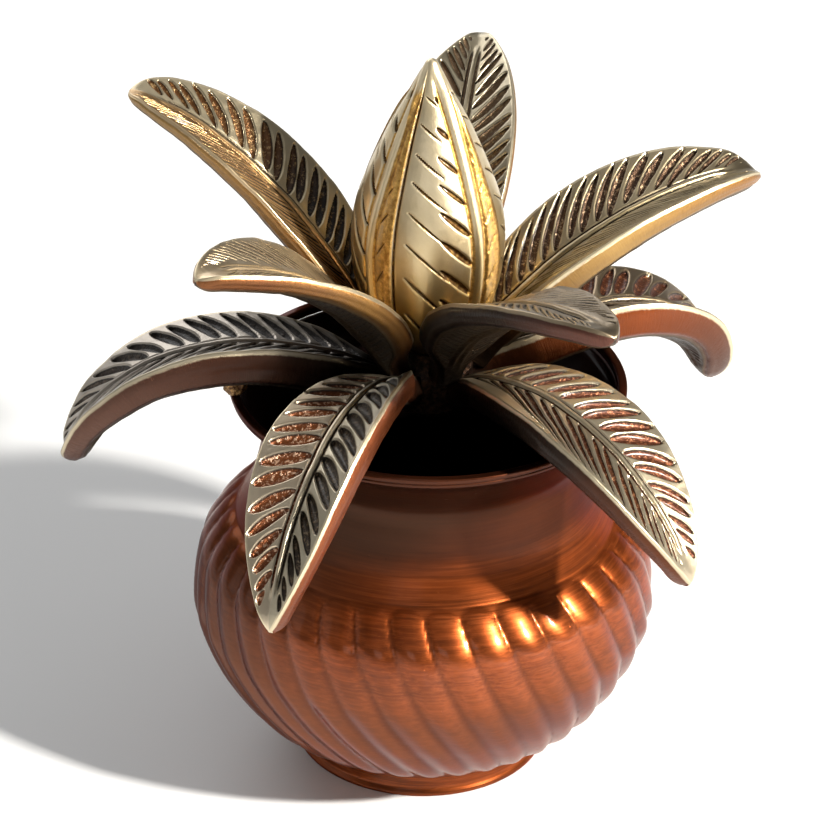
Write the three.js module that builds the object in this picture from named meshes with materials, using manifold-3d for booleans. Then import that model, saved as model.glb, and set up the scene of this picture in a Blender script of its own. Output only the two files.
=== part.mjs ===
// A kalash: a spun and fluted copper-finished pot with a crown of ten cast brass leaves round a closed bud.
// Millimetres, +Z up. The origin is on the pot's axis, on the plane that it stands on.
// Azimuths are in degrees, anticlockwise seen from above, from +X, and -Y is the front.

import * as THREE from "three";
import { mergeVertices } from "three/addons/utils/BufferGeometryUtils.js";
import Module from "manifold-3d";

// Gap between neighbouring pieces
const clearance = 0.3;

// Pot body, as radii of its outer face and heights above the table
const sheet = 1.6;
const baseRadius = 29.4;
const footHeight = 5.9;
const beltRadius = 60.5;
const beltHeight = 46;
const neckRadius = 49.5;
const neckHeight = 69;
const waistRadius = 42.8;
const waistHeight = 92;
const mouthRadius = 49.6;
const mouthHeight = 104.5;
const bodySides = 72;
const bellySteps = 10;
const neckSteps = 7;

// Flutes pressed into the belly, which turn as they go down
const fluteCount = 36;
const fluteDepth = 1.5;
const fluteFade = 3;
const fluteEndHeight = 9;
const fluteTurnAtTop = 0.27;
const fluteTurnGrowth = 0.009;

// How the profiles curve: shares of the way across and up between the named sizes at their ends
const bellyShape = [[0.47, 0.22], [0.79, 0.52], [0.965, 0.81]];
const shoulderShape = [[0.17, 0.52], [0.61, 0.83]];
const neckShape = [[0.54, 0.3], [0.9, 0.7]];
const lipShape = [[0.6, 0.68]];
const budLowerShape = [[0.5, 0.22], [0.87, 0.58]];
const budUpperShape = [[0.042, 0.2], [0.19, 0.38], [0.474, 0.63], [0.758, 0.83]];

// Foot ring and rim ring
const footWidth = 3.2;
const footFlare = 1;
const rimWidth = 2.5;
const rimHeight = 2.8;
const rimOverhang = 1.7;
const rimRound = 0.8;
const edgeRound = 0.5;

// Boss that the leaves and the bud are set into, with its heights above the mouth
const hubRadius = 11.5;
const hubBottomDrop = 4.5;
const hubBottomRadius = 7;
const hubBottomRound = 3.5;
const hubShoulderRise = 8.5;
const hubTopRadius = 6.5;
const hubTopRise = 13;
const spigotRadius = 3.6;
const spigotHeight = 7;
const hubSides = 32;

// Closed bud
const budRadius = 19.8;
const budWaistHeight = 29;
const budHeight = 79.9;
const budOffset = -0.8;
const budFootRadius = 6;
const budTipRadius = 1;
const budSides = 32;
const budRings = 18;
const budLeafCount = 4;
const budFirstRib = 301;
const budEdgeOffset = 61;
const budEdgeStep = 0.45;
const budRibHeight = 0.6;
const budRibHalfAngle = 11;

// Cast leaves: root radius and height above the mouth of the two rings, and what all leaves share
const leafRootRadius = 9;
const upperRootRise = 9.5;
const lowerRootRise = 6;
const leafLength = 100;
const leafHalfWidth = 16;
const leafRootHalfWidth = 3.6;
const leafRootBlend = 0.2;
const leafTipHalfWidth = 0.6;
const leafRibHeight = 0.9;
const leafRibHalfWidth = 1.3;
const leafGrooveDepth = 0.5;
const leafKeelShare = 0.55;
const leafSteps = 16;
const leafStrides = 12;
const leafTipCrowding = 1.5;
const upperWall = 5.4;
const upperThinning = 0.2;
const lowerWall = 7.5;
const lowerThinning = 0.35;

// Each leaf as it was bent by hand: the azimuth that it leaves the boss at, its slope at the root and at
// the tip, how late the bend comes, its roll and sideways sweep, the slope of its two blades and how full
// its outline is. Its length and width, and where they differ its wall, are shares of the sizes above,
// and the thinning is how much of the wall is gone at the tip
const upperLeaves = [
  {
    azimuth: 168, rise: 62.5, droop: 8, bend: 1.75, length: 1.005, width: 0.98,
    roll: 0, sweep: -3, fold: 10.5, fullness: 0.45, wall: 1.3, thinning: 0.5,
  },
  {
    azimuth: 16, rise: 53.5, droop: -7.5, bend: 1.15, length: 0.97, width: 1,
    roll: -2, sweep: 13.5, fold: 15.5, fullness: 0.45, wall: 1.11, thinning: 0.4,
  },
  {
    azimuth: 81, rise: 59.5, droop: 10, bend: 1.1, length: 0.96, width: 1,
    roll: -4, sweep: 1, fold: 19, fullness: 0.7,
  },
  {
    azimuth: 228, rise: 60, droop: 9.5, bend: 1.15, length: 0.94, width: 1,
    roll: -4, sweep: -1, fold: 14.5, fullness: 0.65,
  },
  {
    azimuth: 294, rise: 88, droop: 3.5, bend: 0.52, length: 0.935, width: 0.895,
    roll: -5, sweep: 15, fold: 8, fullness: 0.6, wall: 1.15,
  },
];
const lowerLeaves = [
  {
    azimuth: 190, rise: 25.5, droop: -74.5, bend: 1.6, length: 1.01, width: 0.95,
    roll: 8.5, sweep: -1, fold: 11.5, fullness: 0.45, wall: 1.4, thinning: 0.45,
  },
  {
    azimuth: 241, rise: 44, droop: -60.5, bend: 0.75, length: 1.02, width: 0.955,
    roll: 16.5, sweep: 12.5, fold: 15.5, fullness: 0.75,
  },
  {
    azimuth: 316, rise: 37, droop: -61, bend: 0.85, length: 0.965, width: 0.97,
    roll: -6, sweep: 5, fold: 9, fullness: 0.8,
  },
  {
    azimuth: 25, rise: 19.5, droop: -94, bend: 2.25, length: 0.925, width: 0.93,
    roll: -6, sweep: -5, fold: 16.5, fullness: 0.65, thinning: 0.7,
  },
  {
    azimuth: 110, rise: 30, droop: -66, bend: 1.2, length: 0.97, width: 0.955,
    roll: 0, sweep: 0, fold: 13, fullness: 0.6,
  },
];

// Lumps of braze between the rim and the lower leaves, which spread wider where the gap is smaller
const tackRadius = 3.8;
const tackGap = 3.8;
const tackFlatness = 0.8;
const tackReach = 1.2;
const tackSides = 12;

// Surface finishes
const copper = { color: 0x7a3a1c, roughness: 0.38, metalness: 0.9 };
const footCopper = { color: 0x8f4a24, roughness: 0.42, metalness: 0.9 };
const paleBrass = { color: 0xb5a57a, roughness: 0.4, metalness: 0.9 };
const coppery = { color: 0x9a6a44, roughness: 0.42, metalness: 0.9 };
const brightBrass = { color: 0xd2ad55, roughness: 0.32, metalness: 0.95 };
const braze = { color: 0x8a5c30, roughness: 0.6, metalness: 0.8 };

const wasm = await Module();
wasm.setup();
const kalash = new THREE.Group();
const radians = THREE.MathUtils.degToRad;
const hubTop = mouthHeight + hubTopRise;

function mix(from, to, share) {
  return from + (to - from) * share;
}

function smooth(value) {
  return THREE.MathUtils.smoothstep(value, 0, 1);
}

// A closed surface through rings of equal point counts, each anticlockwise about the way they follow.
function loft(rings) {
  const size = rings[0].length;
  const centres = [rings[0], rings.at(-1)].map((ring) =>
    ring.reduce((sum, point) => sum.add(point), new THREE.Vector3()).divideScalar(size)
  );
  const points = [...rings.flat(), ...centres];
  const faces = [];
  for (let row = 0; row < rings.length - 1; row += 1) {
    for (let side = 0; side < size; side += 1) {
      const next = (side + 1) % size;
      const here = row * size;
      const there = here + size;
      faces.push(here + side, here + next, there + next);
      faces.push(here + side, there + next, there + side);
    }
  }
  const last = (rings.length - 1) * size;
  for (let side = 0; side < size; side += 1) {
    const next = (side + 1) % size;
    faces.push(points.length - 2, next, side);
    faces.push(points.length - 1, last + side, last + next);
  }
  const geometry = new THREE.BufferGeometry().setFromPoints(points);
  geometry.setIndex(faces);
  return geometry;
}

function solidOf(geometry) {
  const bare = new THREE.BufferGeometry();
  bare.setAttribute("position", geometry.getAttribute("position"));
  bare.setIndex(geometry.index);
  const merged = mergeVertices(bare, 1e-4);
  return new wasm.Manifold(
    new wasm.Mesh({
      numProp: 3,
      vertProperties: merged.getAttribute("position").array,
      triVerts: new Uint32Array(merged.index.array),
    })
  );
}

function geometryOf(solid) {
  const mesh = solid.getMesh();
  const geometry = new THREE.BufferGeometry();
  geometry.setAttribute("position", new THREE.BufferAttribute(mesh.vertProperties, mesh.numProp));
  geometry.setIndex(new THREE.BufferAttribute(mesh.triVerts, 1));
  return geometry;
}

function addPiece(name, geometry, finish) {
  const drawn = geometry.toNonIndexed();
  drawn.computeVertexNormals();
  const mesh = new THREE.Mesh(drawn, new THREE.MeshStandardMaterial(finish));
  mesh.name = name;
  kalash.add(mesh);
}

function curvePoints(from, to, shape) {
  const between = shape.map(([across, up]) =>
    new THREE.Vector2(mix(from.x, to.x, across), mix(from.y, to.y, up))
  );
  return [...between, to];
}

// Pot body: the outer face from the base up to the mouth, then the inner face down to the floor.
const foot = new THREE.Vector2(baseRadius + footWidth, footHeight + clearance);
const belt = new THREE.Vector2(beltRadius, beltHeight);
const neck = new THREE.Vector2(neckRadius, neckHeight);
const waist = new THREE.Vector2(waistRadius, waistHeight);
const mouth = new THREE.Vector2(mouthRadius, mouthHeight);

function bellyCurve() {
  const lower = curvePoints(foot, belt, bellyShape);
  const upper = curvePoints(belt, neck, shoulderShape);
  return new THREE.SplineCurve([foot, ...lower, ...upper]);
}

function neckCurve() {
  const lower = curvePoints(neck, waist, neckShape);
  const upper = curvePoints(waist, mouth, lipShape);
  return new THREE.SplineCurve([neck, ...lower, ...upper]);
}

// Points of a curve with the sheet's inner face offset along its normal.
function sheetPoints(curve, steps, offset) {
  const points = [];
  for (let step = 0; step <= steps; step += 1) {
    const point = curve.getPoint(step / steps);
    const tangent = curve.getTangent(step / steps);
    points.push(new THREE.Vector2(point.x - tangent.y * offset, point.y + tangent.x * offset));
  }
  return points;
}

function fluteTurn(height) {
  const drop = THREE.MathUtils.clamp(neckHeight - height, 0, neckHeight - fluteEndHeight);
  return radians(fluteTurnAtTop * drop + (fluteTurnGrowth * drop * drop) / 2);
}

function fluteStrength(height) {
  const belowNeck = smooth((neckHeight - height) / fluteFade);
  const aboveFoot = smooth((height - fluteEndHeight) / (2 * fluteFade));
  return belowNeck * aboveFoot;
}

function bodyRing(radius, height) {
  const ring = [];
  for (let side = 0; side < bodySides; side += 1) {
    const turn = (side / bodySides) * 2 * Math.PI;
    const valley = 1 - Math.abs(Math.cos((turn * fluteCount) / 2));
    const reach = radius - fluteDepth * fluteStrength(height) * valley;
    const azimuth = turn + fluteTurn(height);
    ring.push(new THREE.Vector3(reach * Math.cos(azimuth), reach * Math.sin(azimuth), height));
  }
  return ring;
}

function buildPotBody() {
  const outer = [
    new THREE.Vector2(baseRadius - edgeRound, 0),
    new THREE.Vector2(baseRadius, edgeRound),
    new THREE.Vector2(baseRadius, foot.y),
    ...sheetPoints(bellyCurve(), bellySteps, 0),
    ...sheetPoints(neckCurve(), neckSteps, 0).slice(1),
  ];
  const inner = [
    ...sheetPoints(neckCurve(), neckSteps, sheet).reverse(),
    ...sheetPoints(bellyCurve(), bellySteps, sheet).reverse().slice(1, -1),
  ];
  inner[0].y = mouthHeight;
  const innerFloor = [
    new THREE.Vector2(baseRadius - sheet, foot.y + sheet),
    new THREE.Vector2(baseRadius - sheet, sheet),
  ];
  const rings = [...outer, ...inner, ...innerFloor].map((point) => bodyRing(point.x, point.y));
  return loft(rings);
}

// A closed ring turned from a section listed anticlockwise with its radii to the right.
function turnedRing(section) {
  return new THREE.LatheGeometry([...section, section[0].clone()], bodySides);
}

// Lathe geometry turns about Y, and its pieces stand on Z.
function upright(geometry) {
  return geometry.rotateX(Math.PI / 2);
}

function buildFootRing() {
  const inside = baseRadius + clearance;
  const flared = foot.x + footFlare;
  return upright(turnedRing([
    new THREE.Vector2(inside, 0),
    new THREE.Vector2(flared - edgeRound, 0),
    new THREE.Vector2(flared, edgeRound),
    new THREE.Vector2(mix(foot.x, flared, 0.3), footHeight / 2),
    new THREE.Vector2(foot.x, footHeight - edgeRound),
    new THREE.Vector2(foot.x - edgeRound, footHeight),
    new THREE.Vector2(inside, footHeight),
  ]));
}

const rimOuter = mouthRadius + rimOverhang;
const rimInner = rimOuter - rimWidth;
const rimBottom = mouthHeight + clearance;
const rimTop = rimBottom + rimHeight;

function rimSection(grow) {
  return [
    new THREE.Vector2(rimInner - grow, rimBottom - grow),
    new THREE.Vector2(rimOuter - rimRound + grow, rimBottom - grow),
    new THREE.Vector2(rimOuter + grow, rimBottom + rimRound),
    new THREE.Vector2(rimOuter + grow, rimTop - rimRound),
    new THREE.Vector2(rimOuter - rimRound + grow, rimTop + grow),
    new THREE.Vector2(rimInner + rimRound - grow, rimTop + grow),
    new THREE.Vector2(rimInner - grow, rimTop - rimRound),
  ];
}

function buildRimRing(grow) {
  return upright(turnedRing(rimSection(grow)));
}

// A ring that closes an end of a solid is pushed out by the growth, and the rings between stay.
function endShift(index, count, grow) {
  if (index === 0) return -grow;
  return index === count - 1 ? grow : 0;
}

// Bud: overlapping folded leaves, each with a raised rib and an edge that steps over its neighbour.
function budProfile(grow) {
  const bottom = new THREE.Vector2(budFootRadius, hubTop + clearance);
  const widest = new THREE.Vector2(budRadius, bottom.y + budWaistHeight);
  const tip = new THREE.Vector2(budTipRadius, bottom.y + budHeight);
  const lower = curvePoints(bottom, widest, budLowerShape);
  const upper = curvePoints(widest, tip, budUpperShape);
  const points = new THREE.SplineCurve([bottom, ...lower, ...upper]).getPoints(budRings);
  return points.map((point, index) => {
    const shift = endShift(index, points.length, grow);
    return new THREE.Vector2(point.x + grow, point.y + shift);
  });
}

function budRelief(azimuth) {
  const pitch = 360 / budLeafCount;
  const fromRib = THREE.MathUtils.euclideanModulo(azimuth - budFirstRib, pitch);
  const nearest = Math.min(fromRib, pitch - fromRib);
  const rib = budRibHeight * Math.max(0, 1 - nearest / budRibHalfAngle);
  const fromEdge = THREE.MathUtils.euclideanModulo(azimuth - budFirstRib + budEdgeOffset, pitch);
  return rib - budEdgeStep * (1 - fromEdge / pitch);
}

function buildBud(grow) {
  const rings = budProfile(grow).map((point) => {
    const share = Math.min(1, point.x / budRadius);
    const ring = [];
    for (let side = 0; side < budSides; side += 1) {
      const azimuth = (side * 360) / budSides;
      const radius = point.x + budRelief(azimuth) * share;
      const turn = radians(azimuth);
      ring.push(new THREE.Vector3(radius * Math.cos(turn) + budOffset, radius * Math.sin(turn), point.y));
    }
    return ring;
  });
  return loft(rings);
}

// Boss: a turned block with a spigot that the bud's socket goes over.
function buildHub() {
  const hubBottom = mouthHeight - hubBottomDrop;
  const hubShoulder = mouthHeight + hubShoulderRise;
  const spigotTop = hubTop + spigotHeight;
  return upright(new THREE.LatheGeometry([
    new THREE.Vector2(0, hubBottom),
    new THREE.Vector2(hubBottomRadius, hubBottom),
    new THREE.Vector2(hubRadius, hubBottom + hubBottomRound),
    new THREE.Vector2(hubRadius, hubShoulder),
    new THREE.Vector2(hubTopRadius, hubTop),
    new THREE.Vector2(spigotRadius, hubTop),
    new THREE.Vector2(spigotRadius, spigotTop - edgeRound),
    new THREE.Vector2(spigotRadius - edgeRound, spigotTop),
    new THREE.Vector2(0, spigotTop),
  ], hubSides));
}

function buildBudSocket() {
  const radius = spigotRadius + clearance;
  const bottom = hubTop - clearance;
  const top = hubTop + spigotHeight + clearance;
  const socket = new THREE.CylinderGeometry(radius, radius, top - bottom, hubSides);
  return upright(socket.translate(0, (bottom + top) / 2, 0));
}

// The way that a leaf runs at one share of its length, and the level direction across it.
function leafHeading(leaf, share) {
  const slope = radians(mix(leaf.rise, leaf.droop, share ** leaf.bend));
  const yaw = radians(leaf.azimuth + leaf.sweep * share);
  const out = new THREE.Vector3(Math.cos(yaw), Math.sin(yaw), 0);
  const level = new THREE.Vector3(-Math.sin(yaw), Math.cos(yaw), 0);
  const along = out.multiplyScalar(Math.cos(slope)).setZ(Math.sin(slope));
  return { along, level };
}

function halfWidthAt(leaf, share) {
  const full = leaf.width * leafHalfWidth * Math.max(0, Math.sin(Math.PI * share)) ** leaf.fullness;
  const blended = mix(leafRootHalfWidth, full, smooth(share / leafRootBlend));
  return Math.max(leafTipHalfWidth, blended);
}

// A leaf's centre line, frame, half width and wall at stations that crowd towards its tip.
function leafStations(leaf) {
  const root = radians(leaf.azimuth);
  const place = new THREE.Vector3(Math.cos(root), Math.sin(root), 0)
    .multiplyScalar(leafRootRadius)
    .setZ(mouthHeight + leaf.rootRise);
  const stations = [];
  let travelled = 0;
  for (let step = 0; step <= leafSteps; step += 1) {
    const share = 1 - (1 - step / leafSteps) ** leafTipCrowding;
    const stride = (share - travelled) / leafStrides;
    for (let part = 0; part < leafStrides; part += 1) {
      const middle = travelled + stride * (part + 0.5);
      place.addScaledVector(leafHeading(leaf, middle).along, stride * leaf.length * leafLength);
    }
    travelled = share;
    const { along, level } = leafHeading(leaf, share);
    const up = new THREE.Vector3().crossVectors(along, level);
    const roll = radians(leaf.roll);
    const side = level.clone().multiplyScalar(Math.cos(roll)).addScaledVector(up, Math.sin(roll));
    const normal = up.clone().multiplyScalar(Math.cos(roll)).addScaledVector(level, -Math.sin(roll));
    const halfWidth = halfWidthAt(leaf, share);
    const wall = leaf.fullWall * leaf.wall * (1 - leaf.thinning * share * share);
    stations.push({ place: place.clone(), along, side, normal, halfWidth, wall });
  }
  return stations;
}

// Half of a leaf's section, from the keel round its edge to the rib, as sideways and upward offsets.
function leafSection(station, fold, grow) {
  const slope = Math.tan(radians(fold));
  const reach = station.halfWidth * Math.cos(radians(fold));
  const rib = Math.min(leafRibHalfWidth, reach / 3);
  const groove = (leafGrooveDepth * rib) / leafRibHalfWidth;
  const corner = reach - Math.min(edgeRound, reach / 3);
  const keel = leafKeelShare * reach;
  return [
    [keel, slope * keel - station.wall - grow],
    [corner + grow, slope * reach - station.wall + edgeRound - grow],
    [reach + grow, slope * reach - edgeRound],
    [corner + grow, slope * corner + grow],
    [reach / 2, (slope * reach) / 2 + grow],
    [rib, slope * rib - groove + grow],
  ];
}

function buildLeaf(leaf, grow) {
  const stations = leafStations(leaf);
  const rings = stations.map((station, index) => {
    const half = leafSection(station, leaf.fold, grow);
    const ribTop = leafRibHeight * Math.min(1, station.halfWidth / leafRootHalfWidth) + grow;
    const offsets = [
      [0, -station.wall - grow],
      ...half,
      [0, ribTop],
      ...half.map(([across, lift]) => [-across, lift]).reverse(),
    ];
    const shift = endShift(index, stations.length, grow);
    return offsets.map(([across, lift]) =>
      station.place.clone()
        .addScaledVector(station.along, shift)
        .addScaledVector(station.side, across)
        .addScaledVector(station.normal, lift)
    );
  });
  return loft(rings);
}

// Where a leaf's underside crosses the middle of the rim.
function rimCrossing(leaf) {
  const rimMiddle = (rimInner + rimOuter) / 2;
  const under = leafStations(leaf).map((station) =>
    station.place.clone().addScaledVector(station.normal, -station.wall)
  );
  const radius = (point) => Math.hypot(point.x, point.y);
  const outer = under.findIndex((point) => radius(point) > rimMiddle);
  const from = under[outer - 1];
  const to = under[outer];
  const share = (rimMiddle - radius(from)) / (radius(to) - radius(from));
  return from.clone().lerp(to, share);
}

function buildTack(leaf) {
  const crossing = rimCrossing(leaf);
  const gap = crossing.z - rimTop;
  const radius = tackRadius * Math.sqrt(tackGap / Math.max(gap, clearance));
  const height = Math.max(radius / 2, gap / 2 + tackReach);
  return new THREE.SphereGeometry(1, tackSides, tackSides)
    .scale(radius, radius * tackFlatness, height)
    .rotateZ(Math.atan2(crossing.y, crossing.x))
    .translate(crossing.x, crossing.y, rimTop + gap / 2);
}

// Leaf roots are filed to clear the bud and one another, and the boss is slotted to hold them.
const budSolid = solidOf(buildBud(0)).subtract(solidOf(buildBudSocket()));
const rimClear = solidOf(buildRimRing(clearance));
let taken = solidOf(buildBud(clearance));
const upper = { rootRise: upperRootRise, fullWall: upperWall, wall: 1, thinning: upperThinning };
const lower = { rootRise: lowerRootRise, fullWall: lowerWall, wall: 1, thinning: lowerThinning };
const leaves = [
  ...upperLeaves.map((leaf) => ({ ...upper, ...leaf })),
  ...lowerLeaves.map((leaf) => ({ ...lower, ...leaf })),
];
const leafSpaces = leaves.map((leaf) => solidOf(buildLeaf(leaf, clearance)));
const leafSolids = leaves.map((leaf, index) => {
  const fitted = solidOf(buildLeaf(leaf, 0)).subtract(taken);
  taken = taken.add(leafSpaces[index]);
  return fitted;
});
const hubSolid = solidOf(buildHub()).subtract(wasm.Manifold.union(leafSpaces));
const tackSolids = leaves.slice(upperLeaves.length).map((leaf) =>
  solidOf(buildTack(leaf)).subtract(rimClear).subtract(taken)
);

addPiece("pot_body", buildPotBody(), copper);
addPiece("foot_ring", buildFootRing(), footCopper);
addPiece("rim_ring", buildRimRing(0), copper);
addPiece("crown_hub", geometryOf(hubSolid), coppery);
addPiece("center_bud", geometryOf(budSolid), brightBrass);
upperLeaves.forEach((leaf, index) => {
  addPiece(`upper_leaf_${index + 1}`, geometryOf(leafSolids[index]), paleBrass);
});
lowerLeaves.forEach((leaf, index) => {
  const solid = leafSolids[upperLeaves.length + index];
  addPiece(`lower_leaf_${index + 1}`, geometryOf(solid), coppery);
  addPiece(`braze_tack_${index + 1}`, geometryOf(tackSolids[index]), braze);
});

export default kalash;
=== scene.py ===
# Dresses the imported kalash: a swirl-fluted copper pot with a crown of carved brass leaves round a bud.
# Blender works in metres. Sizes here are millimetres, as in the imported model, and end up times mm.
# Azimuths are degrees, anticlockwise seen from above, from +X. -Y is the front.
import math

import bpy
import numpy as np
from mathutils import Matrix, Vector


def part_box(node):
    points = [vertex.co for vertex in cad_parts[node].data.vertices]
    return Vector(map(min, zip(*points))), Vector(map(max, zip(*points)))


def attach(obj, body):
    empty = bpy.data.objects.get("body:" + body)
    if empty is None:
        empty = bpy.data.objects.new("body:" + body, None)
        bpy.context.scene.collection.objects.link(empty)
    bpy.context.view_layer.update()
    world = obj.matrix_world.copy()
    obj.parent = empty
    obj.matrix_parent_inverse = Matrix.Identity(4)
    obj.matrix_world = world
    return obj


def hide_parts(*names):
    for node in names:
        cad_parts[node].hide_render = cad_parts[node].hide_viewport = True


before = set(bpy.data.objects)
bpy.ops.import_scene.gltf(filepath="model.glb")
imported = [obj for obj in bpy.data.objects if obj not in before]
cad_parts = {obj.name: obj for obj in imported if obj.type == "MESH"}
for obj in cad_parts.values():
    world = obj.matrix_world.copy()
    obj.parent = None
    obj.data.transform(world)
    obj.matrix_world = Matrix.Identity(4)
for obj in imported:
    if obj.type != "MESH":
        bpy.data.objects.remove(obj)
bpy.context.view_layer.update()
mm = 0.001
toMm = 1000
scene = bpy.context.scene


# Node arithmetic

def connect(value, socket):
    if isinstance(value, Signal):
        value.tree.links.new(value.socket, socket)
    else:
        socket.default_value = value


class Signal:
    # A socket that takes part in Python expressions
    def __init__(self, tree, socket):
        self.tree = tree
        self.socket = socket

    def math(self, operation, *others):
        return node(self.tree, "ShaderNodeMath", {"operation": operation}, dict(enumerate((self, *others))))

    def __add__(self, other):
        return self.math("ADD", other)

    __radd__ = __add__

    def __mul__(self, other):
        return self.math("MULTIPLY", other)

    __rmul__ = __mul__

    def __sub__(self, other):
        return self.math("SUBTRACT", other)

    def __rsub__(self, other):
        return self * -1 + other

    def __truediv__(self, other):
        return self.math("DIVIDE", other)

    def __pow__(self, other):
        return self.math("POWER", other)

    def clamped(self):
        return self.math("MINIMUM", 1.0).math("MAXIMUM", 0.0)

    def smooth(self, low, high):
        values = {"Value": self, "From Min": low, "From Max": high}
        return node(self.tree, "ShaderNodeMapRange", {"interpolation_type": "SMOOTHSTEP"}, values)


def node(tree, kind, settings=None, inputs=None, output=0):
    made = tree.nodes.new(kind)
    for key, value in (settings or {}).items():
        if key == "stops":
            fillRamp(made.color_ramp, value)
        else:
            setattr(made, key, value)
    for key, value in (inputs or {}).items():
        connect(value, made.inputs[key])
    return Signal(tree, made.outputs[output])


def fillRamp(ramp, stops):
    while len(ramp.elements) < len(stops):
        ramp.elements.new(0.5)
    for element, (place, colour) in zip(ramp.elements, stops):
        element.position = place
        element.color = (*colour, 1.0)


def blend(share, first, second):
    values = {0: share, 6: asColour(first), 7: asColour(second)}
    tree = next(value.tree for value in values.values() if isinstance(value, Signal))
    return node(tree, "ShaderNodeMix", {"data_type": "RGBA"}, values, 2)


def asColour(value):
    return value if isinstance(value, Signal) else (*value, 1.0)


def attribute(tree, name, output=2):
    # Output 2 is a number and output 1 a vector
    return node(tree, "ShaderNodeAttribute", {"attribute_name": name}, None, output)


def noise(place, scale, detail=3.0, roughness=0.55):
    values = {"Vector": place, "Scale": scale, "Detail": detail, "Roughness": roughness}
    return node(place.tree, "ShaderNodeTexNoise", None, values)


def combined(x, y, z):
    return node(x.tree, "ShaderNodeCombineXYZ", None, {0: x, 1: y, 2: z})


def separated(vector):
    parts = vector.tree.nodes.new("ShaderNodeSeparateXYZ")
    connect(vector, parts.inputs[0])
    return [Signal(vector.tree, output) for output in parts.outputs]


def newSurface(name, fixed):
    material = bpy.data.materials.new(name)
    material.use_nodes = True
    tree = material.node_tree
    shader = tree.nodes["Principled BSDF"]
    for key, value in fixed.items():
        shader.inputs[key].default_value = value
    place = node(tree, "ShaderNodeTexCoord", None, None, 3)  # object coordinates
    return material, tree, shader, place


def setSurface(shader, colour, roughness, height, bump):
    bumped = node(height.tree, "ShaderNodeBump", None, {"Height": height, "Distance": bump})
    for key, value in {"Base Color": colour, "Roughness": roughness, "Normal": bumped}.items():
        connect(value, shader.inputs[key])


# Object and mesh helpers

def addObject(name, data):
    made = bpy.data.objects.new(name, data)
    scene.collection.objects.link(made)
    return made


def catmullRom(points, count):
    # The same curve that the solids follow: one even span for each pair of points
    points = np.array(points, float)
    spans = len(points) - 1
    t = np.linspace(0, spans, count)
    start = np.minimum(t.astype(int), spans - 1)
    weight = (t - start)[:, None]
    before = points[np.maximum(start - 1, 0)]
    here = points[start]
    there = points[start + 1]
    after = points[np.minimum(start + 2, spans)]
    rise = (there - before) / 2
    fall = (after - here) / 2
    cubic = (2 * here - 2 * there + rise + fall) * weight ** 3
    square = (-3 * here + 3 * there - 2 * rise - fall) * weight ** 2
    return cubic + square + rise * weight + here


def smoothstep(value, low=0.0, high=1.0):
    share = np.clip((value - low) / (high - low), 0, 1)
    return share * share * (3 - 2 * share)


def ripple(points, size, seed):
    # Smooth unevenness of about -1 to 1, as hand work leaves, on points in millimetres
    chance = np.random.default_rng(seed)
    total = np.zeros(points.shape[:-1])
    waves = 7
    for _ in range(waves):
        direction = chance.normal(size=3)
        direction *= 2 * math.pi / (size * chance.uniform(0.7, 1.6) * np.linalg.norm(direction))
        total += np.sin(points @ direction + chance.uniform(0, 2 * math.pi))
    return total / (waves / 2)


def meshFromRings(name, rings, data=None, closedEnds=True):
    # Rings of equal counts, each joined to the next, with a fan over each end or the last joined to the first
    rows, columns = rings.shape[:2]
    points = rings.reshape(-1, 3)
    index = np.arange(rows * columns).reshape(rows, columns)
    beside = np.roll(index, -1, axis=1)
    quads = np.stack([index[:-1], beside[:-1], beside[1:], index[1:]], -1).reshape(-1, 4)
    faces = quads.tolist()
    if closedEnds:
        points = np.vstack([points, rings[0].mean(0), rings[-1].mean(0)])
        first, last = rows * columns, rows * columns + 1
        faces += np.stack([beside[0], index[0], np.full(columns, first)], -1).tolist()
        faces += np.stack([index[-1], beside[-1], np.full(columns, last)], -1).tolist()
    else:
        faces += np.stack([index[-1], beside[-1], beside[0], index[0]], -1).tolist()
    if signedVolume(points, quads) < 0:
        faces = [face[::-1] for face in faces]
    mesh = bpy.data.meshes.new(name)
    mesh.from_pydata((points * mm).tolist(), [], faces)
    mesh.shade_smooth()
    for key, values in (data or {}).items():
        values = values.reshape(rows * columns, -1)
        if closedEnds:
            values = np.vstack([values, values[:columns].mean(0), values[-columns:].mean(0)])
        isVector = values.shape[1] == 3
        layer = mesh.attributes.new(key, "FLOAT_VECTOR" if isVector else "FLOAT", "POINT")
        layer.data.foreach_set("vector" if isVector else "value", values.astype(np.float32).ravel())
    return addObject(name, mesh)


def signedVolume(points, quads):
    a, b, c, d = (points[quads[:, corner]] for corner in range(4))
    return float((np.cross(b - a, c - a) * a).sum() + (np.cross(c - a, d - a) * a).sum())


def turned(profile, sides):
    # A profile of radii and heights, turned about Z
    turn = np.linspace(0, 2 * math.pi, sides, endpoint=False)
    radius, height = profile[:, :1], profile[:, 1:]
    return np.stack([radius * np.cos(turn), radius * np.sin(turn), height + 0 * turn], -1)


def finishPiece(piece, material, slot, *nodes):
    piece.data.materials.clear()
    piece.data.materials.append(material)
    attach(piece, "root")
    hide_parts(*nodes)


# Camera, at the photograph's viewing angle. The focal length is in pixels of the frame

view = {
    "distance": 1000, "elevation": 29.85, "roll": 1.2, "aimX": -3.4, "aimZ": 96.9,
    "focal": 3868, "frame": 828, "sensor": 36,
}


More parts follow.
